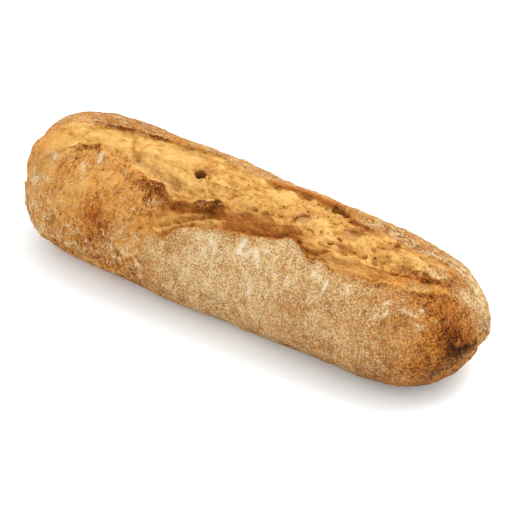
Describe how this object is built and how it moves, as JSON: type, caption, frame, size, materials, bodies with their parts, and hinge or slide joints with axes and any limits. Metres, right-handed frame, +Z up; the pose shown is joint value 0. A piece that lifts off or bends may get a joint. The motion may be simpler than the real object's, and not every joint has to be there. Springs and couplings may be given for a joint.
{
  "type": "wheat rye bread loaf",
  "caption": "Long oval hearth-baked wheat and rye bread loaf with a lengthwise cut burst open over golden crumb, floury browned crust, creased round ends and a flat base.",
  "frame": {"origin": "middle of the loaf's length and width, on the surface that it rests on", "axes": "+X along the loaf towards the end with the scorched tip, -Y towards its floury front side, +Z up"},
  "size_m": [0.2775, 0.09, 0.0694],
  "materials": {
    "crust": "baked bread crust: matt, golden to toasted brown, dusted with flour, with golden crumb in the burst cut"
  },
  "bodies": {
    "root": {"loaf": "crust"}
  },
  "joints": []
}
